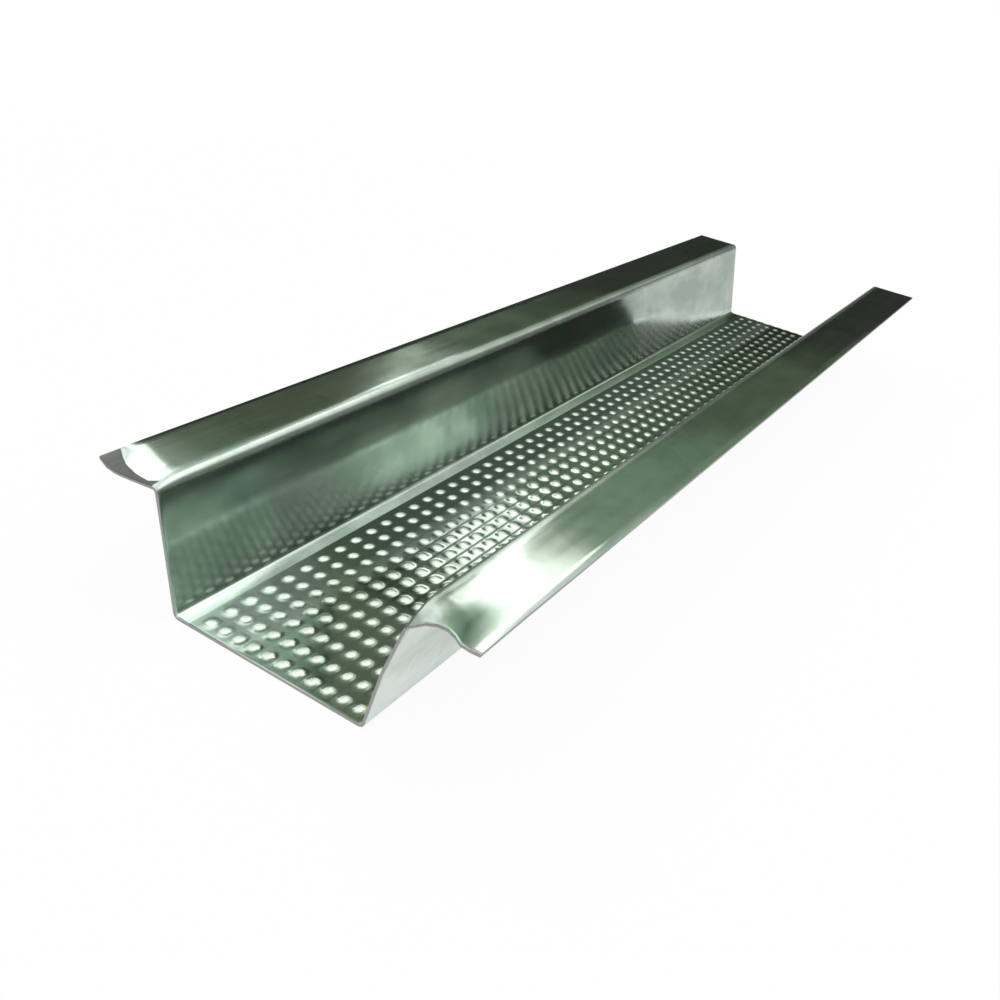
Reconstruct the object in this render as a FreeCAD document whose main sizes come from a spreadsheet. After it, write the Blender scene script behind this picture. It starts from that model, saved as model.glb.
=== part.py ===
"""Ceiling furring channel: a short cut length of roll-formed galvanised steel hat section.

One strip of thin sheet is folded four times along its length. The flat web lies underneath, the two
walls lean outwards from it, and a flat lip runs along the top of each wall. The trough is open upwards.

Frame: X across the section, Y along the channel, Z up. The origin is at the middle of the length, on the
underside of the web.
"""
import FreeCAD
import Part
import Sketcher
import enum
import math
import os

NODE = "furring_channel"

# Driving sizes: millimetres, and degrees for the lean of the walls.
DRIVING_SIZES = [
    ("channel_length", 234.0, "cut length of the sample"),
    ("web_width", 36.5, "underside of the web, between the sharp outer corners of its folds"),
    ("section_depth", 21.5, "underside of the web to the top of the lips"),
    ("lip_width", 11.55, "flat lip, from the sharp corner under its fold to its free edge"),
    ("wall_lean", 11.3, "lean of each wall away from upright"),
    ("sheet_thickness", 0.5, "gauge of the steel sheet"),
    ("bend_radius", 0.7, "inner radius of each fold"),
]

# Corners of the section from left to right, the same on both faces of the sheet. The heels are the folds
# at the web, and the shoulders are the folds at the lips.
CORNERS = ["left_tip", "left_shoulder", "left_heel", "right_heel", "right_shoulder", "right_tip"]
HEELS = ["left_heel", "right_heel"]
SHOULDERS = ["left_shoulder", "right_shoulder"]

# How near an edge of the solid has to lie to a corner of the section to belong to it, in millimetres.
TOLERANCE = 1e-4


class Pick(enum.IntEnum):
    """What a constraint takes hold of: the first or last point of a line, or an axis of the drawing."""

    START = 1
    END = 2
    X_AXIS = -1
    Y_AXIS = -2


def make_sizes(doc):
    """Write the driving sizes to a sheet and return it."""
    sheet = doc.addObject("Spreadsheet::Sheet", "Sizes")
    for row, (alias, value, meaning) in enumerate(DRIVING_SIZES, start=1):
        sheet.set(f"A{row}", alias)
        sheet.set(f"B{row}", str(value))
        sheet.set(f"C{row}", meaning)
        sheet.setAlias(f"B{row}", alias)
    doc.recompute()
    return sheet


def sharp_corners(sizes):
    """Corner points of the under and upper face, before the folds are rounded, as (x, z) by name."""
    slope = math.tan(math.radians(sizes.wall_lean))
    slanted_gauge = sizes.sheet_thickness / math.cos(math.radians(sizes.wall_lean))
    half_web = sizes.web_width / 2
    lip_under = sizes.section_depth - sizes.sheet_thickness
    shoulder = half_web + lip_under * slope
    tip = shoulder + sizes.lip_width

    under_half = [(half_web, 0.0), (shoulder, lip_under), (tip, lip_under)]
    upper_half = [
        (half_web + sizes.sheet_thickness * slope - slanted_gauge, sizes.sheet_thickness),
        (half_web + sizes.section_depth * slope - slanted_gauge, sizes.section_depth),
        (tip, sizes.section_depth),
    ]
    faces = []
    for half in (under_half, upper_half):
        mirrored = [(-x, z) for x, z in reversed(half)]
        faces.append(dict(zip(CORNERS, mirrored + half)))
    return faces


def draw_outline(sketch, sizes):
    """Draw the closed outline of the section and return the line that starts at each named corner.

    The under face runs from left to right and the upper face back, joined by the two free edges.
    """
    under, upper = sharp_corners(sizes)
    outline = [under[name] for name in CORNERS] + [upper[name] for name in reversed(CORNERS)]
    points = [FreeCAD.Vector(x, z, 0) for x, z in outline]
    lines = []
    for index, point in enumerate(points):
        after = points[(index + 1) % len(points)]
        lines.append(sketch.addGeometry(Part.LineSegment(point, after), False))
    for index, line in enumerate(lines):
        after = lines[(index + 1) % len(lines)]
        sketch.addConstraint(Sketcher.Constraint("Coincident", line, Pick.END, after, Pick.START))
    under_lines = dict(zip(CORNERS, lines))
    upper_lines = dict(zip(reversed(CORNERS), lines[len(CORNERS):]))
    return under_lines, upper_lines


def tie_shape(sketch, under, upper):
    """Tie the form: the two halves alike, level lips, square free edges, walls of even gauge."""
    half = len(CORNERS) // 2
    for face in (under, upper):
        for left, right in zip(CORNERS[:half], reversed(CORNERS[half:])):
            pair = (face[left], Pick.START, face[right], Pick.START)
            sketch.addConstraint(Sketcher.Constraint("Symmetric", *pair, Pick.Y_AXIS))
    sketch.addConstraint(Sketcher.Constraint("Horizontal", under["right_shoulder"]))
    sketch.addConstraint(Sketcher.Constraint("Horizontal", upper["right_tip"]))
    sketch.addConstraint(Sketcher.Constraint("Vertical", under["right_tip"]))
    sketch.addConstraint(Sketcher.Constraint("PointOnObject", under["right_heel"], Pick.START, Pick.X_AXIS))
    sketch.addConstraint(Sketcher.Constraint("Parallel", upper["right_shoulder"], under["right_heel"]))


def tie_sizes(sketch, under, upper, sizes):
    """Give the section its sizes, each bound to its cell of the sheet."""
    web_corner = (under["right_heel"], Pick.START)
    inner_corner = (upper["right_heel"], Pick.START)
    free_edge = under["right_tip"]
    lip = under["right_shoulder"]

    def bind(name, expression, kind, *terms):
        number = sketch.addConstraint(Sketcher.Constraint(kind, *terms))
        sketch.renameConstraint(number, name)
        sketch.setExpression(f"Constraints.{name}", expression)

    gauge = sizes.sheet_thickness
    bind("web_across", "Sizes.web_width * 1 mm",
         "DistanceX", under["left_heel"], Pick.START, *web_corner, sizes.web_width)
    bind("web_gauge", "Sizes.sheet_thickness * 1 mm",
         "DistanceY", *web_corner, *inner_corner, gauge)
    bind("wall_gauge", "Sizes.sheet_thickness * 1 mm",
         "Distance", *inner_corner, under["right_heel"], gauge)
    bind("lip_gauge", "Sizes.sheet_thickness * 1 mm",
         "DistanceY", free_edge, Pick.START, free_edge, Pick.END, gauge)
    bind("depth", "Sizes.section_depth * 1 mm",
         "DistanceY", *web_corner, upper["right_tip"], Pick.START, sizes.section_depth)
    bind("lip_across", "Sizes.lip_width * 1 mm",
         "DistanceX", lip, Pick.START, lip, Pick.END, sizes.lip_width)
    bind("wall_rise", "90 deg - Sizes.wall_lean * 1 deg",
         "Angle", Pick.X_AXIS, Pick.START, *web_corner, math.radians(90 - sizes.wall_lean))


def draw_section(body, sizes):
    """Draw the sharp-cornered section across the channel, on the upright plane through the origin."""
    sketch = body.newObject("Sketcher::SketchObject", "section")
    plane = next(item for item in body.Origin.OriginFeatures if item.Role == "XZ_Plane")
    sketch.AttachmentSupport = [(plane, "")]
    sketch.MapMode = "FlatFace"
    under, upper = draw_outline(sketch, sizes)
    tie_shape(sketch, under, upper)
    tie_sizes(sketch, under, upper, sizes)
    return sketch


def edges_along(shape, corners):
    """Names of the edges that run along the channel at the given (x, z) corners."""
    names = []
    for number, edge in enumerate(shape.Edges, start=1):
        first = edge.Vertexes[0].Point
        last = edge.Vertexes[-1].Point
        runs_along = abs(first.y - last.y) > TOLERANCE
        if runs_along and any(math.dist((first.x, first.z), corner) < TOLERANCE for corner in corners):
            names.append(f"Edge{number}")
    return names


def round_folds(doc, body, name, base, corners, radius):
    """Round one set of fold edges of the body so far and return the rounded feature."""
    rounding = body.newObject("PartDesign::Fillet", name)
    rounding.Base = (base, edges_along(base.Shape, corners))
    rounding.setExpression("Radius", radius)
    doc.recompute()
    return rounding


def make_channel(doc, sizes):
    """Build the channel as one body: the section, its run along Y, then the rounded folds."""
    body = doc.addObject("PartDesign::Body", NODE)
    body.Label = NODE
    run = body.newObject("PartDesign::Pad", "run")
    run.Profile = draw_section(body, sizes)
    run.SideType = "Symmetric"
    run.setExpression("Length", "Sizes.channel_length * 1 mm")
    doc.recompute()

    # A fold has the bend radius on the face that it closes, and the gauge more on the face that it opens.
    under, upper = sharp_corners(sizes)
    closed_side = [upper[name] for name in HEELS] + [under[name] for name in SHOULDERS]
    open_side = [under[name] for name in HEELS] + [upper[name] for name in SHOULDERS]
    inner = round_folds(doc, body, "inner_bends", run, closed_side, "Sizes.bend_radius * 1 mm")
    round_folds(doc, body, "outer_bends", inner, open_side,
                "(Sizes.bend_radius + Sizes.sheet_thickness) * 1 mm")
    body.Placement = FreeCAD.Placement()
    doc.recompute()
    return body


def check(doc, body):
    """Stop before anything is written if a feature failed or the channel isn't one sound solid."""
    for item in doc.Objects:
        if "Invalid" in item.State or "Error" in item.State:
            raise RuntimeError(f"{item.Name} failed: {item.State}")
    if not doc.getObject("section").FullyConstrained:
        raise RuntimeError("the section isn't fully constrained")
    shape = body.Shape
    if shape.isNull() or not shape.isValid() or len(shape.Solids) != 1:
        raise RuntimeError(f"{body.Label} isn't one valid solid")


def main():
    doc = FreeCAD.newDocument("FurringChannel")
    sizes = make_sizes(doc)
    body = make_channel(doc, sizes)
    check(doc, body)
    os.makedirs("parts", exist_ok=True)
    body.Shape.exportStep(f"parts/{body.Label}.step")
    box = body.Shape.BoundBox
    print(f"{body.Label}: {box.XLength:.2f} x {box.YLength:.2f} x {box.ZLength:.2f} mm,"
          f" {body.Shape.Volume / 1000:.2f} cm3")


main()
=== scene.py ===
"""Looks of the ceiling furring channel: a cut length of bright galvanised hat section with a knurled web.

Metres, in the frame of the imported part: X across the section, Y along the channel, Z up, the origin at the
middle of the length on the underside of the web. The near end of the channel is the one at low Y.
"""
import math

import bmesh
import bpy
from mathutils import Matrix, Vector


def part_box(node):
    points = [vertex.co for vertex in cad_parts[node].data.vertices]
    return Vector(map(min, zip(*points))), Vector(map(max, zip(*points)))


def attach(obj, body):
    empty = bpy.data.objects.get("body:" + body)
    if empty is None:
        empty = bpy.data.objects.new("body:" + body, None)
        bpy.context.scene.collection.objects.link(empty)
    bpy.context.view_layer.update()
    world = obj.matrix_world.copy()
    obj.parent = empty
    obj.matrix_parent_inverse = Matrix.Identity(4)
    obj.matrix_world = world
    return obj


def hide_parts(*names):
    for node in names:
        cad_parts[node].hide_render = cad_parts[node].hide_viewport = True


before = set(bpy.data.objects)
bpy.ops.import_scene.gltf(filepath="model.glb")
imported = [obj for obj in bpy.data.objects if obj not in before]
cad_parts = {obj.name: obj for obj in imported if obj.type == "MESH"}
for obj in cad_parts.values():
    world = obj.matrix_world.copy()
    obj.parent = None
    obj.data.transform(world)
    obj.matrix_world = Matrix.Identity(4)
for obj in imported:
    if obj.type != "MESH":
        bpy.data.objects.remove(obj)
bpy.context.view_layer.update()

NODE = "furring_channel"
MM = 0.001

# The folded sheet. The overall length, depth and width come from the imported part.
LOW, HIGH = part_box(NODE)
LENGTH = HIGH.y - LOW.y
DEPTH = HIGH.z - LOW.z
HALF_WIDTH = HIGH.x
WEB_WIDTH = 36.5 * MM
GAUGE = 0.5 * MM
WALL_LEAN = math.radians(11.3)
INNER_BEND = 0.7 * MM
OUTER_BEND = INNER_BEND + GAUGE
BEND_TURN = math.radians(90) - WALL_LEAN

# The knurl: rows of small bumps pressed up through the web.
KNURL_ROWS = 11
ROW_PITCH = 2.85 * MM
KNURL_SHIFT = 1.3 * MM
KNURL_HEIGHT = 0.2 * MM
BUMP_ACROSS = 1.02 * MM
BUMP_ALONG = 1.3 * MM
BUMP_CROWN = 1.5
KNURL_FIELD = KNURL_ROWS * ROW_PITCH

# The upper face of the sheet, from the middle of the web outwards.
HEEL_CORNER = WEB_WIDTH / 2 + GAUGE * math.tan(WALL_LEAN) - GAUGE / math.cos(WALL_LEAN)
HEEL_RUN = INNER_BEND * math.tan(BEND_TURN / 2)
WEB_FLAT = HEEL_CORNER - HEEL_RUN
SHOULDER_CORNER = HEEL_CORNER + (DEPTH - GAUGE) * math.tan(WALL_LEAN)
SHOULDER_RUN = OUTER_BEND * math.tan(BEND_TURN / 2)
LIP_START = SHOULDER_CORNER + SHOULDER_RUN
LIP_FLAT = HALF_WIDTH - LIP_START
WALL_FLAT = (DEPTH - GAUGE) / math.cos(WALL_LEAN) - HEEL_RUN - SHOULDER_RUN

# Divisions of the mesh. A column of bumps takes a whole number of steps, about 4.3 mm in all.
ROW_STEPS = 6
COLUMN_STEPS = 8
STEPS_ALONG = 435
STEP = LENGTH / STEPS_ALONG
COLUMN_PITCH = COLUMN_STEPS * STEP
FIRST_COLUMN = 4.5 * STEP
HEEL_STEPS = 4
SHOULDER_STEPS = 5
WALL_STEPS = 2
LIP_STEPS = 7
CUT_ROUND = 0.05 * MM
CUT_ROUND_STEPS = 2
RIM_TURN = math.radians(60)
SHARP_TURN = math.radians(28)

# How near a point has to lie to a side of the knurl, a face of the sheet or a cut end to belong to it.
NEAR_SIDE = 0.01 * MM
NEAR_FACE = 0.1 * MM
NEAR_END = 0.3 * MM

# Knocks at the near ends of the lips, as (share of the lip from its fold to its free edge, millimetres).
LEFT_DROP = [
    (-0.1, 0.4), (0.0, 0.7), (0.2, 0.95), (0.4, 1.17), (0.65, 1.42), (0.8, 1.4), (0.92, 0.9), (1.0, 0.15),
]
LEFT_CREASE = [(0.0, 0.6), (0.1, 0.7), (0.4, 1.1), (0.75, 2.4), (1.0, 3.9)]
CREASE_ROW = 3
CREASE_END_ROW = 12
CREASE_SHARE = 0.74
CURL_REACH = 5.0 * MM
RIGHT_DROP = [
    (-0.1, 2.6), (0.0, 2.2), (0.15, 1.25), (0.3, 0.85), (0.5, 0.56), (0.75, 0.27), (1.0, 0.15),
]
RIGHT_BITE = [
    (-0.1, 1.0), (0.0, 1.3), (0.15, 2.0), (0.3, 2.4), (0.5, 2.1), (0.62, 1.0), (0.75, 0.0),
]
RIGHT_REACH = [(0.1, 8.0), (0.4, 14.0)]
BITE_REACH = 8.0 * MM
WALL_HOLD = 12.0 * MM

# Which material of the channel the sheared edges and the painted-shade strip at the left lip's cut end take.
CUT_FINISH = 1
STRIP_SHADE_FINISH = 2

# Colours of the finishes.
ZINC = (0.575, 0.655, 0.60)
ZINC_DULL = (0.41, 0.485, 0.435)
# A painted highlight: the tops of the bumps lighter.
PAINTED_TOP_HIGHLIGHT = (0.82, 0.88, 0.82)
# Painted shade in the valleys of the knurl.
PAINTED_SHADE = (0.03, 0.05, 0.033)
# A painted dark reflection round the bumps of the near right corner.
PAINTED_DARK_REFLECTION = (0.085, 0.125, 0.06)
# A painted dark reflection on the knocked end of the right lip.
PAINTED_BLOB_REFLECTION = (0.31, 0.43, 0.335)
CUT_STEEL = (0.40, 0.40, 0.39)
# Painted shade on the bent strip at the left lip's cut end.
STRIP_SHADE_STEEL = (0.15, 0.16, 0.145)

# Patterns in the zinc: lines from the rolls, clouds, crystals, and shallow waves in the sheet.
STREAK_FINENESS = 700.0
STREAK_STRETCH = (1, 0.012, 1)
CLOUD_SCALE = 110.0
CLOUD_STRETCH = (1, 0.4, 1)
SPANGLE_SCALE = 170.0
PATTERN_DETAIL = 4
PATTERN_ROUGHNESS = 0.6
CLOUD_SHARE = 0.9
SPANGLE_SHARE = 0.1
WAVE_SCALE = 45
WAVE_DETAIL = 1
WAVE_HEIGHT = 0.15 * MM
ROLLED_GRAIN = 0.7

# A ramp is a reading where it begins, one where it ends, and its value at the first and at the second.
ZINC_TONE = (0.38, 0.6, 0, 1)
STREAK_DULLNESS = (0.3, 0.7, 0.08, 0.12)
CLOUD_DULLNESS = (0.35, 0.65, 0.02, 0.0)

# Painted shade on the knurl, in lines between the rows and over its left side, where the left wall shades it.
# The first two ramps read the place across the web, the third the share of a pitch from the middle of a row,
# the next three the place along the channel, then one the height and the last how far the painted shade or
# the painted dark reflection covers the zinc.
INSIDE_EDGE = (-15.3 * MM, -15.1 * MM, 0, 1)
LEFT_SHADE = (-8 * MM, 0, 0.95, 0.25)
LINE_SHADE = (0.3, 0.46, 0, 0.85)
LINE_START = (-94 * MM, -80 * MM, 0.15, 1)
LINE_END = (-60 * MM, -25 * MM, 1, 0.45)
SHADE_FADE = (-104 * MM, -86 * MM, 0.5, 1)
SHADE_HEIGHT = (GAUGE + 0.01 * MM, GAUGE + 0.1 * MM, 1, 0)
SHADE_METAL = (0.5, 1, 1, 0.15)

# Painted highlight on the tops of the bumps: a lighter colour there. The tops are also duller.
BUMP_TOP_HEIGHT = (GAUGE + 0.02 * MM, GAUGE + 0.12 * MM, 0, 1)
TOP_HIGHLIGHT_COVER = 0.85
BUMP_TOP_DULLNESS = 0.28

# A painted dark reflection round the bumps of the near right corner. It begins at a slanting line and fades
# out along the channel.
DARK_REFLECTION_SLOPE = 0.77
DARK_REFLECTION_EDGE = (6 * MM, 13 * MM, 0, 1)
DARK_REFLECTION_FADE = (22 * MM, 40 * MM, 1, 0)
DARK_REFLECTION_HEIGHT = (GAUGE + 0.04 * MM, GAUGE + 0.13 * MM, 0.72, 0)

# The painted dark reflection on the knocked end of the right lip, across and along. Its ramp reads the square
# of the distance from its middle, as a share of its reach.
BLOB_PLACE = (29.1 * MM, LOW.y + 4.5 * MM)
BLOB_REACH = (3.6 * MM, 5.5 * MM)
BLOB_FADE = (0.3, 1.1, 0.9, 0)

# Where the zinc is duller: over the shoulders, at the knocked near ends of the lips, low on the walls.
SHOULDER_RISE = (DEPTH - 1.7 * MM, DEPTH - 1.1 * MM, 0, 0.2)
SHOULDER_EDGE = (LIP_START + 0.2 * MM, LIP_START + 0.9 * MM, 1, 0)
KNOCK_FADE = (LOW.y + 5 * MM, LOW.y + 14 * MM, 0.09, 0)
KNOCK_EDGE = (LIP_START - 2 * MM, LIP_START, 0, 1)
WALL_EDGE = (WEB_FLAT, WEB_FLAT + 0.5 * MM, 0, 0.012)
WALL_FADE = (14 * MM, 8 * MM, 0, 1)

# Bare steel.
BARE_FINENESS = 2500
BARE_TONE = (0.3, 0.7, 0, 1)
BARE_SHADE = 0.8
BARE_ROUGHNESS = 0.45

# The floor glows white away from the channel. The ramp reads the distance from the origin.
FLOOR_COLOUR = (0.93, 0.93, 0.93)
FLOOR_ROUGHNESS = 0.9
FLOOR_HALF = 6
FLOOR_GLOW = (0.25, 0.7, 0.94, 1)

# The tent of cloth round the floor, with its tones by elevation from the origin in degrees. The back tones
# change to the side tones by the place across and along.
TENT_RADIUS = 4.0
TENT_SIDES = 96
TENT_LOW = 2
TENT_TOP = 62
TENT_RIGHT = (0.08 * TENT_RADIUS, 0.2 * TENT_RADIUS, 0, 1)
TENT_FRONT = (0.5 * TENT_RADIUS, 0.15 * TENT_RADIUS, 0, 1)
BACK_TONES = [
    (TENT_LOW, (0.040, 0.043, 0.038)),
    (17.2, (0.035, 0.039, 0.033)),
    (18.6, (0.105, 0.135, 0.09)),
    (22.5, (0.12, 0.155, 0.105)),
    (25, (0.20, 0.285, 0.19)),
    (29, (0.22, 0.30, 0.21)),
    (32, (0.34, 0.42, 0.33)),
    (36, (0.72, 0.80, 0.72)),
    (41, (1.2, 1.2, 1.2)),
    (TENT_TOP, (1.5, 1.5, 1.5)),
]
SIDE_TONES = [
    (TENT_LOW, (0.09, 0.09, 0.08)),
    (13, (0.12, 0.12, 0.11)),
    (17, (0.26, 0.24, 0.225)),
    (21, (0.46, 0.40, 0.375)),
    (25, (0.75, 0.66, 0.63)),
    (36, (0.66, 0.70, 0.65)),
    (50, (0.78, 0.78, 0.78)),
    (56, (1.2, 1.2, 1.2)),
    (TENT_TOP, (1.5, 1.5, 1.5)),
]

# Cards in front of the tent: name, azimuth and elevation in degrees, distance, width, height, colour.
CARDS = [
    ("olive_card", 44.5, 25.5, 3.4, 0.95, 0.36, (0.095, 0.105, 0.068)),
    ("grey_card", 49.5, 43.5, 3.3, 1.3, 0.52, (0.30, 0.38, 0.32)),
    ("pale_card", 44.2, 36.7, 3.2, 0.65, 0.46, (0.50, 0.66, 0.56)),
    ("shade_card", 34.7, 37.4, 3.1, 0.42, 0.6, (0.065, 0.085, 0.05)),
    ("dot_card", 41, 50.5, 3.15, 0.8, 0.68, (0.42, 0.50, 0.36)),
    ("side_card", -41, 29, 2.9, 0.75, 0.36, (0.22, 0.25, 0.215)),
]

# The card on the floor behind the channel.
FLOOR_CARD_PLACE = (0.08, 0.33, 0.0006)
FLOOR_CARD_SIZE = (0.5, 0.4)
FLOOR_CARD_COLOUR = (0.72, 0.73, 0.72)

# Lamps: name, azimuth and elevation in degrees, distance, width, height, brightness of the face, colour.
WHITE = (1, 1, 1)
CREAM = (1, 0.985, 0.93)
PALE_GREEN = (0.85, 1, 0.76)
LAMPS = [
    ("top_light", 0, 90, 1.3, 1.5, 1.5, 0.3, WHITE),
    ("dot_light", -13, 59, 3.0, 1.0, 0.58, 2.6, WHITE),
    ("key_light", 23.9, 41, 3.5, 0.82, 1.08, 1.6, CREAM),
    ("wall_light", 32.5, 27.3, 3.5, 0.42, 0.26, 3.2, WHITE),
    ("corner_light", 47.5, 35.2, 3.0, 0.16, 0.2, 1.8, WHITE),
    ("left_light", 67, 36.5, 3.0, 1.38, 0.68, 1.9, WHITE),
    ("right_light", -50, 42, 3.0, 1.6, 1.1, 1.2, WHITE),
    ("margin_light", -14.5, 37, 3.5, 0.67, 1.6, 0.5, WHITE),
    ("band_light", 28.7, 31.2, 3.5, 0.25, 0.2, 2.2, WHITE),
    ("left_card", 35, 22.6, 3.5, 0.12, 0.09, 0.6, PALE_GREEN),
]

# Where the camera stood. The lens and the sensor are in millimetres.
CAMERA_PLACE = Vector((0.08104, -0.20967, 0.09901))
CAMERA_AZIMUTH = math.radians(27.47)
CAMERA_ELEVATION = math.radians(28.39)
CAMERA_ROLL = math.radians(10.14)
CAMERA_LENS = 38.08
CAMERA_SENSOR = 36


def knurl_height(x, y):
    """Height of the knurl over the web at a point: low round bumps on a flat ground."""
    across = (((x - KNURL_SHIFT) / ROW_PITCH + KNURL_ROWS / 2) % 1 - 0.5) * ROW_PITCH / BUMP_ACROSS
    along = (((y - LOW.y - FIRST_COLUMN) / COLUMN_PITCH + 0.5) % 1 - 0.5) * COLUMN_PITCH / BUMP_ALONG
    return KNURL_HEIGHT * max(1 - across * across - along * along, 0) ** BUMP_CROWN


def knurled_web(bm):
    """Make the upper face of the web, with its rows of bumps."""
    bmesh.ops.create_grid(bm, x_segments=KNURL_ROWS * ROW_STEPS, y_segments=STEPS_ALONG, size=0.5)
    bmesh.ops.scale(bm, vec=(KNURL_FIELD, LENGTH, 1), verts=bm.verts)
    bmesh.ops.translate(bm, vec=(KNURL_SHIFT, 0, GAUGE), verts=bm.verts)
    for vert in bm.verts:
        vert.co.z += knurl_height(vert.co.x, vert.co.y)


def long_edge(bm, side):
    """The edges along one long side of the knurled web."""
    limit = KNURL_FIELD / 2 + side * KNURL_SHIFT - NEAR_SIDE
    return [e for e in bm.edges if e.is_boundary and all(side * v.co.x > limit for v in e.verts)]


def extrude_flat(bm, edges, step, count):
    """Extrude a run of edges by the same step a number of times, and return the last run."""
    for _ in range(count):
        made = bmesh.ops.extrude_edge_only(bm, edges=edges)["geom"]
        verts = [item for item in made if isinstance(item, bmesh.types.BMVert)]
        bmesh.ops.translate(bm, vec=step, verts=verts)
        fresh = set(verts)
        edges = [e for e in made if isinstance(e, bmesh.types.BMEdge) and fresh.issuperset(e.verts)]
    return edges


def fold(bm, edges, centre, turn, steps):
    """Turn a run of edges round a line along the channel, and return the last run."""
    run = list({v for e in edges for v in e.verts}) + edges
    made = bmesh.ops.spin(bm, geom=run, cent=centre, axis=(0, 1, 0), angle=turn, steps=steps)
    return [item for item in made["geom_last"] if isinstance(item, bmesh.types.BMEdge)]


def side_of_channel(bm, side):
    """Fold one side up from the web: plain margin, heel, wall, shoulder and lip."""
    edges = long_edge(bm, side)
    margin = WEB_FLAT - KNURL_FIELD / 2 - side * KNURL_SHIFT
    edges = extrude_flat(bm, edges, Vector((side * margin, 0, 0)), 1)
    edges = fold(bm, edges, (side * WEB_FLAT, 0, GAUGE + INNER_BEND), -side * BEND_TURN, HEEL_STEPS)
    up_wall = Vector((side * math.sin(WALL_LEAN), 0, math.cos(WALL_LEAN)))
    edges = extrude_flat(bm, edges, up_wall * WALL_FLAT / WALL_STEPS, WALL_STEPS)
    edges = fold(bm, edges, (side * LIP_START, 0, DEPTH - OUTER_BEND), side * BEND_TURN, SHOULDER_STEPS)
    extrude_flat(bm, edges, Vector((side * LIP_FLAT / LIP_STEPS, 0, 0)), LIP_STEPS)


def folded_sheet():
    """Make the whole channel as one folded sheet of even gauge."""
    bm = bmesh.new()
    knurled_web(bm)
    for side in (-1, 1):
        side_of_channel(bm, side)
    bmesh.ops.recalc_face_normals(bm, faces=bm.faces)
    bmesh.ops.solidify(bm, geom=bm.faces, thickness=GAUGE)
    bmesh.ops.recalc_face_normals(bm, faces=bm.faces)
    return bm


def square_ends(bm):
    """Put the cut ends back in a plane each, and the underside on the floor, where the knurl tilted them."""
    for vert in bm.verts:
        if abs(vert.co.y) > LENGTH / 2 - NEAR_END:
            vert.co.y = math.copysign(LENGTH / 2, vert.co.y)
        vert.co.z = max(vert.co.z, 0)


def finish_rims(bm):
    """Mark the sheared faces of the sheet as bare steel and round their edges a little."""
    rims = [e for e in bm.edges if e.calc_face_angle(0) > RIM_TURN]
    sharp = set(rims)
    for face in bm.faces:
        if sum(e in sharp for e in face.edges) >= 2:
            face.material_index = CUT_FINISH
    bmesh.ops.bevel(bm, geom=rims, offset=CUT_ROUND, affect="EDGES", segments=CUT_ROUND_STEPS, profile=0.5,
                    material=-1)


def trim_to_box(bm):
    """Bring back the points that the rounding pushed a hair outside the channel's box."""
    for vert in bm.verts:
        for axis in range(3):
            vert.co[axis] = min(max(vert.co[axis], LOW[axis]), HIGH[axis])


def shade_left_strip(bm):
    """Give the strip between the crease and the cut of the left lip the dark steel of painted shade."""
    strip = LOW.y + CREASE_ROW * STEP
    for face in bm.faces:
        middle = face.calc_center_median()
        if middle.y < strip and middle.x < -LIP_START and middle.z > DEPTH - NEAR_FACE:
            face.material_index = STRIP_SHADE_FINISH


def lay_uv(bm):
    """Lay the sheet out flat: U across the strip, V along it, both in metres."""
    layer = bm.loops.layers.uv.new("sheet")
    for face in bm.faces:
        for loop in face.loops:
            x, y, z = loop.vert.co
            rise = math.copysign(z - GAUGE, x) if abs(x) > WEB_FLAT else 0
            loop[layer].uv = (x + rise, y)


def share_of_lip(co):
    """How far a point lies from the fold of its lip (0) to the free edge (1)."""
    return (abs(co.x) - LIP_START) / LIP_FLAT


def read_curve(curve, share):
    """Read a curve of (share, millimetres) points, in metres."""
    if share <= curve[0][0]:
        return curve[0][1] * MM
    for (low, first), (high, last) in zip(curve, curve[1:]):
        if share <= high:
            return (first + (last - first) * (share - low) / (high - low)) * MM
    return curve[-1][1] * MM


def hold_of_wall(co):
    """How much of a knock reaches a point: all of it at the lips, none of it low on the walls."""
    return min(max((co.z - WALL_HOLD) / (DEPTH - WALL_HOLD), 0), 1)


def curl_left_lip(co):
    """Bend the near corner of the left lip down: a curl that ends in a crease, then a strip up to the cut."""
    share = share_of_lip(co)
    crease = read_curve(LEFT_CREASE, share)
    row = CREASE_ROW * STEP
    last_row = CREASE_END_ROW * STEP
    out = co.y - LOW.y
    if share > 0 and out < last_row:
        if out < row:
            out = out * crease / row
        else:
            out = crease + (out - row) * (last_row - crease) / (last_row - row)
        co.y = LOW.y + out
    if out < crease:
        part = 1 - (1 - CREASE_SHARE) * out / crease
    else:
        part = CREASE_SHARE * max(1 - (out - crease) / CURL_REACH, 0) ** 2
    co.z -= read_curve(LEFT_DROP, share) * part * hold_of_wall(co)


def bite_right_lip(co):
    """Push the cut edge of the right lip back in a shallow bite, and bend the end of its fold down."""
    share = share_of_lip(co)
    out = co.y - LOW.y
    bend = max(1 - out / read_curve(RIGHT_REACH, share), 0)
    co.y += read_curve(RIGHT_BITE, share) * max(1 - out / BITE_REACH, 0) * hold_of_wall(co)
    co.z -= read_curve(RIGHT_DROP, share) * bend ** 2 * hold_of_wall(co)


def knock_lips(bm):
    """Give the near ends of the two lips their knocks."""
    for vert in bm.verts:
        if vert.co.z > WALL_HOLD and vert.co.x < 0:
            curl_left_lip(vert.co)
        elif vert.co.z > WALL_HOLD:
            bite_right_lip(vert.co)


def show(bm, name):
    """Turn a finished bmesh into an object that sits at the origin."""
    mesh = bpy.data.meshes.new(name)
    bm.to_mesh(mesh)
    bm.free()
    mesh.shade_smooth()
    mesh.set_sharp_from_angle(angle=SHARP_TURN)
    piece = bpy.data.objects.new(name, mesh)
    bpy.context.scene.collection.objects.link(piece)
    return piece


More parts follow.
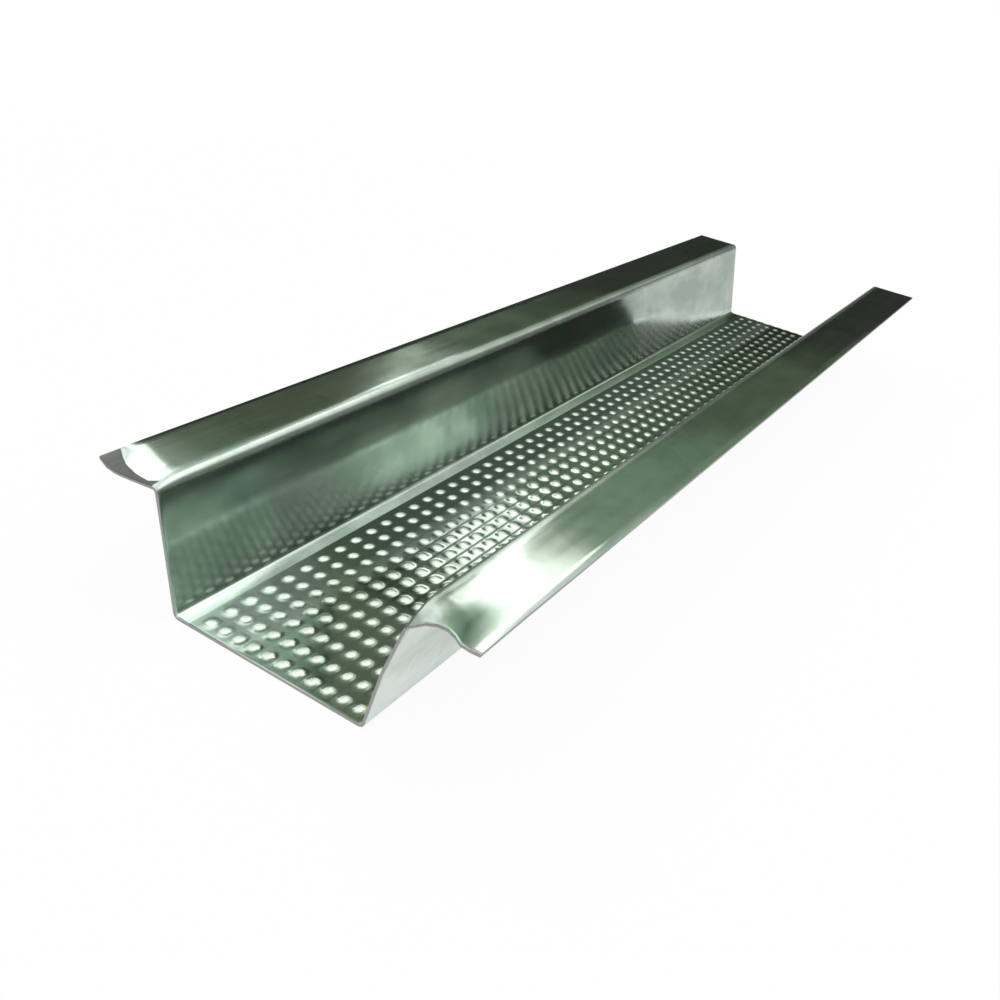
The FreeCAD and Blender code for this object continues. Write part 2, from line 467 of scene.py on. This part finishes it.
def make_channel():
    """Make the channel as one piece. The knocks come last, after the sheet is laid out flat."""
    bm = folded_sheet()
    square_ends(bm)
    finish_rims(bm)
    trim_to_box(bm)
    shade_left_strip(bm)
    lay_uv(bm)
    knock_lips(bm)
    return show(bm, "channel")


def new_group(name, inputs, outputs):
    """A shader node group with named inputs and outputs, and its two end nodes."""
    group = bpy.data.node_groups.new(name, "ShaderNodeTree")
    for label, kind, value in inputs:
        socket = group.interface.new_socket(label, in_out="INPUT", socket_type=kind)
        if value is not None:
            socket.default_value = value
    for label, kind in outputs:
        group.interface.new_socket(label, in_out="OUTPUT", socket_type=kind)
    return group, group.nodes.new("NodeGroupInput"), group.nodes.new("NodeGroupOutput")


def stretched_noise(tree, place, scale, stretch):
    """Noise of a given scale, drawn out along the strip."""
    mapping = tree.nodes.new("ShaderNodeMapping")
    mapping.inputs["Scale"].default_value = stretch
    noise = tree.nodes.new("ShaderNodeTexNoise")
    noise.inputs["Detail"].default_value = PATTERN_DETAIL
    noise.inputs["Roughness"].default_value = PATTERN_ROUGHNESS
    tree.links.new(place, mapping.inputs["Vector"])
    tree.links.new(mapping.outputs["Vector"], noise.inputs["Vector"])
    tree.links.new(scale, noise.inputs["Scale"])
    return noise.outputs["Fac"]


def rolled_streaks():
    """Fine lines along the strip, from the rolls."""
    group, start, end = new_group(
        "rolled_streaks",
        [("Place", "NodeSocketVector", None), ("Fineness", "NodeSocketFloat", STREAK_FINENESS)],
        [("Streak", "NodeSocketFloat")],
    )
    streak = stretched_noise(group, start.outputs["Place"], start.outputs["Fineness"], STREAK_STRETCH)
    group.links.new(streak, end.inputs["Streak"])
    return group


def zinc_cloud():
    """Soft clouds and faint crystal spangle in the zinc coat."""
    group, start, end = new_group(
        "zinc_cloud",
        [("Place", "NodeSocketVector", None), ("Cloud Scale", "NodeSocketFloat", CLOUD_SCALE),
         ("Spangle Scale", "NodeSocketFloat", SPANGLE_SCALE)],
        [("Cloud", "NodeSocketFloat"), ("Spangle", "NodeSocketFloat")],
    )
    cloud = stretched_noise(group, start.outputs["Place"], start.outputs["Cloud Scale"], CLOUD_STRETCH)
    crystal = group.nodes.new("ShaderNodeTexVoronoi")
    tone = group.nodes.new("ShaderNodeSeparateColor")
    group.links.new(start.outputs["Place"], crystal.inputs["Vector"])
    group.links.new(start.outputs["Spangle Scale"], crystal.inputs["Scale"])
    group.links.new(crystal.outputs["Color"], tone.inputs[0])
    group.links.new(cloud, end.inputs["Cloud"])
    group.links.new(tone.outputs[0], end.inputs["Spangle"])
    return group


def place_group(tree, group, place):
    """Put a node group into a material, fed with the place of each point."""
    node = tree.nodes.new("ShaderNodeGroup")
    node.node_tree = group
    tree.links.new(place, node.inputs["Place"])
    return node


def ramp(tree, value, low, high, to_low, to_high):
    """A value that goes from one level to another as a reading goes from low to high."""
    node = tree.nodes.new("ShaderNodeMapRange")
    node.inputs["From Min"].default_value = low
    node.inputs["From Max"].default_value = high
    node.inputs["To Min"].default_value = to_low
    node.inputs["To Max"].default_value = to_high
    tree.links.new(value, node.inputs["Value"])
    return node.outputs[0]


def reckon(tree, operation, *values):
    """One step of arithmetic on one or two values, each a number or an output."""
    node = tree.nodes.new("ShaderNodeMath")
    node.operation = operation
    for socket, value in zip(node.inputs, values):
        if isinstance(value, (int, float)):
            socket.default_value = value
        else:
            tree.links.new(value, socket)
    return node.outputs[0]


def combine(tree, operation, first, *rest):
    """The same step of arithmetic over a row of values, from left to right."""
    for value in rest:
        first = reckon(tree, operation, first, value)
    return first


def blend_colours(tree, factor, low, high):
    """A colour between two, each given as numbers or an output."""
    node = tree.nodes.new("ShaderNodeMix")
    node.data_type = "RGBA"
    for socket, colour in zip((node.inputs["A"], node.inputs["B"]), (low, high)):
        if isinstance(colour, tuple):
            socket.default_value = (*colour, 1)
        else:
            tree.links.new(colour, socket)
    tree.links.new(factor, node.inputs["Factor"])
    return node.outputs["Result"]


def split_place(tree, place):
    """A place as its X, Y and Z."""
    node = tree.nodes.new("ShaderNodeSeparateXYZ")
    tree.links.new(place, node.inputs[0])
    return node.outputs


def upper_face(tree, height):
    """Where a point of the web lies on its upper face or above it."""
    return reckon(tree, "GREATER_THAN", height, GAUGE - NEAR_FACE)


def row_lines(tree, across, along):
    """Lines of painted shade between the rows of the knurl, strongest in the middle of the channel's near
    half.
    """
    row = reckon(tree, "DIVIDE", reckon(tree, "SUBTRACT", across, KNURL_SHIFT), ROW_PITCH)
    row = reckon(tree, "FRACT", reckon(tree, "ADD", row, KNURL_ROWS / 2))
    off_row = reckon(tree, "ABSOLUTE", reckon(tree, "SUBTRACT", row, 0.5))
    lines = ramp(tree, off_row, *LINE_SHADE)
    return combine(tree, "MULTIPLY", lines, ramp(tree, along, *LINE_START), ramp(tree, along, *LINE_END))


def knurl_masks(tree, place):
    """Masks of the knurl: the painted shade between its rows and along its left side, and the tops of its
    bumps for the painted highlight.
    """
    across, along, height = split_place(tree, place)
    inside = ramp(tree, across, *INSIDE_EDGE)
    painted_shade = reckon(tree, "MAXIMUM", row_lines(tree, across, along), ramp(tree, across, *LEFT_SHADE))
    low = ramp(tree, height, *SHADE_HEIGHT)
    fade = ramp(tree, along, *SHADE_FADE)
    painted_shade = combine(tree, "MULTIPLY", painted_shade, low, fade, inside, upper_face(tree, height))
    web = reckon(tree, "LESS_THAN", height, GAUGE + KNURL_HEIGHT + NEAR_FACE)
    tops = combine(tree, "MULTIPLY", inside, ramp(tree, height, *BUMP_TOP_HEIGHT), web)
    return painted_shade, tops


def dark_reflection_mask(tree, place):
    """Where the painted dark reflection lies round the bumps of the near right corner."""
    across, along, height = split_place(tree, place)
    out = reckon(tree, "SUBTRACT", along, LOW.y)
    slant = reckon(tree, "ADD", across, reckon(tree, "MULTIPLY", out, DARK_REFLECTION_SLOPE))
    return combine(tree, "MULTIPLY", ramp(tree, slant, *DARK_REFLECTION_EDGE), ramp(tree, out, *DARK_REFLECTION_FADE),
                   ramp(tree, height, *DARK_REFLECTION_HEIGHT), upper_face(tree, height))


def blob_reflection_mask(tree, place):
    """A round painted dark reflection on the knocked end of the right lip."""
    axes = split_place(tree, place)
    apart = []
    for value, middle, reach in zip(axes, BLOB_PLACE, BLOB_REACH):
        share = reckon(tree, "DIVIDE", reckon(tree, "SUBTRACT", value, middle), reach)
        apart.append(reckon(tree, "MULTIPLY", share, share))
    on_lip = reckon(tree, "GREATER_THAN", axes["Z"], WALL_HOLD)
    return reckon(tree, "MULTIPLY", ramp(tree, reckon(tree, "ADD", *apart), *BLOB_FADE), on_lip)


def dull_places(tree, place):
    """Where the zinc is duller: over the shoulders, at the knocked ends of the lips, low on the walls."""
    across, along, height = split_place(tree, place)
    wide = reckon(tree, "ABSOLUTE", across)
    shoulders = reckon(tree, "MULTIPLY", ramp(tree, height, *SHOULDER_RISE), ramp(tree, wide, *SHOULDER_EDGE))
    knocks = reckon(tree, "MULTIPLY", ramp(tree, along, *KNOCK_FADE), ramp(tree, wide, *KNOCK_EDGE))
    walls = reckon(tree, "MULTIPLY", ramp(tree, wide, *WALL_EDGE), ramp(tree, height, *WALL_FADE))
    return combine(tree, "MAXIMUM", shoulders, knocks, walls)


def new_finish(name):
    """A new material with its node tree, its shader and the place of each point."""
    material = bpy.data.materials.new(name)
    material.use_nodes = True
    tree = material.node_tree
    place = tree.nodes.new("ShaderNodeTexCoord").outputs["Object"]
    return material, tree, tree.nodes["Principled BSDF"], place


def grain_along_sheet(tree, shader):
    """Stretch the shine across the lines of the rolls, as the flat layout of the sheet gives them."""
    shader.inputs["Anisotropic"].default_value = ROLLED_GRAIN
    tangent = tree.nodes.new("ShaderNodeTangent")
    tangent.direction_type = "UV_MAP"
    tangent.uv_map = "sheet"
    tree.links.new(tangent.outputs[0], shader.inputs["Tangent"])


def wavy_sheet(tree, shader, place):
    """Shallow waves, because thin sheet is never quite flat."""
    waves = tree.nodes.new("ShaderNodeTexNoise")
    waves.inputs["Scale"].default_value = WAVE_SCALE
    waves.inputs["Detail"].default_value = WAVE_DETAIL
    tree.links.new(place, waves.inputs["Vector"])
    bump = tree.nodes.new("ShaderNodeBump")
    bump.inputs["Distance"].default_value = WAVE_HEIGHT
    tree.links.new(waves.outputs["Fac"], bump.inputs["Height"])
    tree.links.new(bump.outputs[0], shader.inputs["Normal"])


def galvanised_steel(streaks, clouds):
    """The bright zinc coat, with a painted highlight on the bump tops, painted shade on the knurl and painted
    dark reflections at the near right corner and on the right lip.
    """
    material, tree, shader, place = new_finish("galvanised_steel")
    lines = place_group(tree, streaks, place).outputs["Streak"]
    coat = place_group(tree, clouds, place).outputs
    painted_shade, tops = knurl_masks(tree, place)
    dark_reflection = dark_reflection_mask(tree, place)

    tone = reckon(tree, "ADD", reckon(tree, "MULTIPLY", coat["Cloud"], CLOUD_SHARE),
                  reckon(tree, "MULTIPLY", coat["Spangle"], SPANGLE_SHARE))
    colour = blend_colours(tree, ramp(tree, tone, *ZINC_TONE), ZINC_DULL, ZINC)
    # Painted highlight: the tops of the bumps lighter.
    colour = blend_colours(tree, reckon(tree, "MULTIPLY", tops, TOP_HIGHLIGHT_COVER), colour, PAINTED_TOP_HIGHLIGHT)
    # Painted shade in the valleys of the knurl, between its rows and over its left side.
    colour = blend_colours(tree, painted_shade, colour, PAINTED_SHADE)
    # A painted dark reflection round the bumps of the near right corner.
    colour = blend_colours(tree, dark_reflection, colour, PAINTED_DARK_REFLECTION)
    # A painted dark reflection on the knocked end of the right lip.
    colour = blend_colours(tree, blob_reflection_mask(tree, place), colour, PAINTED_BLOB_REFLECTION)
    tree.links.new(colour, shader.inputs["Base Color"])

    # The zinc turns less metallic under the painted shade and the painted dark reflection.
    cover = reckon(tree, "MAXIMUM", painted_shade, dark_reflection)
    tree.links.new(ramp(tree, cover, *SHADE_METAL), shader.inputs["Metallic"])
    shader.inputs["Specular IOR Level"].default_value = 0

    worn = reckon(tree, "MAXIMUM", reckon(tree, "MULTIPLY", tops, BUMP_TOP_DULLNESS), dull_places(tree, place))
    dullness = combine(tree, "ADD", ramp(tree, lines, *STREAK_DULLNESS),
                       ramp(tree, coat["Cloud"], *CLOUD_DULLNESS), worn)
    tree.links.new(dullness, shader.inputs["Roughness"])
    grain_along_sheet(tree, shader)
    wavy_sheet(tree, shader, place)
    return material


def bare_steel(name, streaks, colour):
    """Bare steel at the sheared edges; in a dark colour, painted shade on the bent strip at the left lip's
    cut end.
    """
    material, tree, shader, place = new_finish(name)
    lines = place_group(tree, streaks, place)
    lines.inputs["Fineness"].default_value = BARE_FINENESS
    tone = ramp(tree, lines.outputs["Streak"], *BARE_TONE)
    shade = tuple(BARE_SHADE * level for level in colour)
    tree.links.new(blend_colours(tree, tone, shade, colour), shader.inputs["Base Color"])
    shader.inputs["Metallic"].default_value = 1
    shader.inputs["Roughness"].default_value = BARE_ROUGHNESS
    return material


def pale_floor():
    """Plain pale floor: it keeps the soft shadow near the channel and runs out to white."""
    material, tree, shader, place = new_finish("pale_floor")
    shader.inputs["Base Color"].default_value = (*FLOOR_COLOUR, 1)
    shader.inputs["Roughness"].default_value = FLOOR_ROUGHNESS
    reach = tree.nodes.new("ShaderNodeVectorMath")
    reach.operation = "LENGTH"
    tree.links.new(place, reach.inputs[0])
    path = tree.nodes.new("ShaderNodeLightPath").outputs
    seen = combine(tree, "MAXIMUM", path["Is Camera Ray"], path["Is Glossy Ray"], path["Is Transmission Ray"])
    share = reckon(tree, "MULTIPLY", seen, ramp(tree, reach.outputs["Value"], *FLOOR_GLOW))
    glow = tree.nodes.new("ShaderNodeEmission")
    mix = tree.nodes.new("ShaderNodeMixShader")
    for output, socket in zip((share, shader.outputs[0], glow.outputs[0]), mix.inputs):
        tree.links.new(output, socket)
    tree.links.new(mix.outputs[0], tree.nodes["Material Output"].inputs["Surface"])
    return material


def lay_floor():
    """The floor that the channel lies on."""
    bm = bmesh.new()
    bmesh.ops.create_grid(bm, x_segments=1, y_segments=1, size=FLOOR_HALF)
    piece = show(bm, "floor")
    piece.data.materials.append(pale_floor())


def glowing(name):
    """A new material that only glows, and its emission node."""
    material = bpy.data.materials.new(name)
    material.use_nodes = True
    tree = material.node_tree
    tree.nodes.clear()
    glow = tree.nodes.new("ShaderNodeEmission")
    out = tree.nodes.new("ShaderNodeOutputMaterial")
    tree.links.new(glow.outputs[0], out.inputs["Surface"])
    return material, glow


def height_ramp(tree, height, tones):
    """Colours of the tent by height, given as (elevation from the origin in degrees, colour)."""
    node = tree.nodes.new("ShaderNodeValToRGB")
    stops = node.color_ramp.elements
    while len(stops) < len(tones):
        stops.new(0.5)
    for stop, (elevation, colour) in zip(stops, tones):
        stop.position = math.tan(math.radians(elevation)) / math.tan(math.radians(TENT_TOP))
        stop.color = (*colour, 1)
    tree.links.new(height, node.inputs[0])
    return node.outputs[0]


def tent_cloth(top):
    """Glowing cloth, toned by height, with other tones to the right and in front than at the back."""
    material, glow = glowing("tent_cloth")
    tree = material.node_tree
    across, along, up = split_place(tree, tree.nodes.new("ShaderNodeTexCoord").outputs["Object"])
    height = reckon(tree, "DIVIDE", up, top)
    beside = reckon(tree, "MAXIMUM", ramp(tree, across, *TENT_RIGHT), ramp(tree, along, *TENT_FRONT))
    tone = blend_colours(tree, beside, height_ramp(tree, height, BACK_TONES),
                         height_ramp(tree, height, SIDE_TONES))
    tree.links.new(tone, glow.inputs["Color"])
    return material


def hang_tent():
    """A ring of studio cloth round the floor, darkest low at the back, that the bright metal mirrors."""
    top = TENT_RADIUS * math.tan(math.radians(TENT_TOP))
    low = TENT_RADIUS * math.tan(math.radians(TENT_LOW))
    bm = bmesh.new()
    bmesh.ops.create_cone(bm, cap_ends=False, segments=TENT_SIDES, radius1=TENT_RADIUS, radius2=TENT_RADIUS,
                          depth=top - low)
    bmesh.ops.translate(bm, vec=(0, 0, (top + low) / 2), verts=bm.verts)
    piece = show(bm, "tent")
    piece.data.materials.append(tent_cloth(top))
    piece.visible_camera = False


def towards(azimuth, elevation):
    """Unit vector to a direction: azimuth in degrees from +Y towards -X, elevation in degrees."""
    a = math.radians(azimuth)
    e = math.radians(elevation)
    return Vector((-math.sin(a) * math.cos(e), math.cos(a) * math.cos(e), math.sin(e)))


def facing(place):
    """A matrix at a place, turned so that its Z axis points away from the origin."""
    return Matrix.Translation(place) @ place.to_track_quat("Z", "Y").to_matrix().to_4x4()


def plain_card(name, matrix, width, height, colour):
    """A plain card of a given brightness that only the metal sees."""
    bm = bmesh.new()
    bmesh.ops.create_grid(bm, x_segments=1, y_segments=1, size=0.5)
    bmesh.ops.scale(bm, vec=(width, height, 1), verts=bm.verts)
    bmesh.ops.transform(bm, matrix=matrix, verts=bm.verts)
    piece = show(bm, name)
    material, glow = glowing(name)
    glow.inputs["Color"].default_value = (*colour, 1)
    piece.data.materials.append(material)
    piece.visible_camera = False
    return piece


def hang_card(name, azimuth, elevation, distance, width, height, colour):
    """A card in front of the tent."""
    plain_card(name, facing(towards(azimuth, elevation) * distance), width, height, colour)


def lay_floor_card():
    """A grey card on the floor behind the channel, which throws no shadow."""
    place = Matrix.Translation(FLOOR_CARD_PLACE)
    card = plain_card("floor_card", place, *FLOOR_CARD_SIZE, FLOOR_CARD_COLOUR)
    card.visible_shadow = False
    card.visible_diffuse = False


def softbox(name, azimuth, elevation, distance, width, height, brightness, colour):
    """An area lamp that faces the origin, with a given brightness of its face."""
    light = bpy.data.lights.new(name, "AREA")
    light.shape = "RECTANGLE"
    light.size = width
    light.size_y = height
    light.energy = brightness * math.pi * width * height
    light.color = colour
    lamp = bpy.data.objects.new(name, light)
    lamp.matrix_world = facing(towards(azimuth, elevation) * distance)
    lamp.visible_camera = False
    bpy.context.scene.collection.objects.link(lamp)


def light_studio():
    """A white world, the floor and the tent, then the cards and the lamps."""
    world = bpy.data.worlds.new("studio")
    bpy.context.scene.world = world
    world.use_nodes = True
    back = world.node_tree.nodes["Background"]
    back.inputs["Color"].default_value = (*WHITE, 1)
    back.inputs["Strength"].default_value = 1
    lay_floor()
    hang_tent()
    for card in CARDS:
        hang_card(*card)
    lay_floor_card()
    for lamp in LAMPS:
        softbox(*lamp)
    bpy.context.scene.view_settings.view_transform = "Standard"


def set_camera():
    """Stand the camera where the photo was taken from."""
    view = bpy.data.cameras.new("camera")
    view.sensor_width = CAMERA_SENSOR
    view.lens = CAMERA_LENS
    eye = bpy.data.objects.new("camera", view)
    turn = Matrix.Rotation(CAMERA_AZIMUTH, 4, "Z") @ Matrix.Rotation(math.pi / 2 - CAMERA_ELEVATION, 4, "X")
    eye.matrix_world = Matrix.Translation(CAMERA_PLACE) @ turn @ Matrix.Rotation(CAMERA_ROLL, 4, "Z")
    bpy.context.scene.collection.objects.link(eye)
    bpy.context.scene.camera = eye


channel = make_channel()
streaks = rolled_streaks()
channel.data.materials.append(galvanised_steel(streaks, zinc_cloud()))
channel.data.materials.append(bare_steel("cut_steel", streaks, CUT_STEEL))
# Painted shade on the bent strip between the crease and the cut of the left lip.
channel.data.materials.append(bare_steel("strip_shade_steel", streaks, STRIP_SHADE_STEEL))
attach(channel, "root")
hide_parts(NODE)
light_studio()
set_camera()
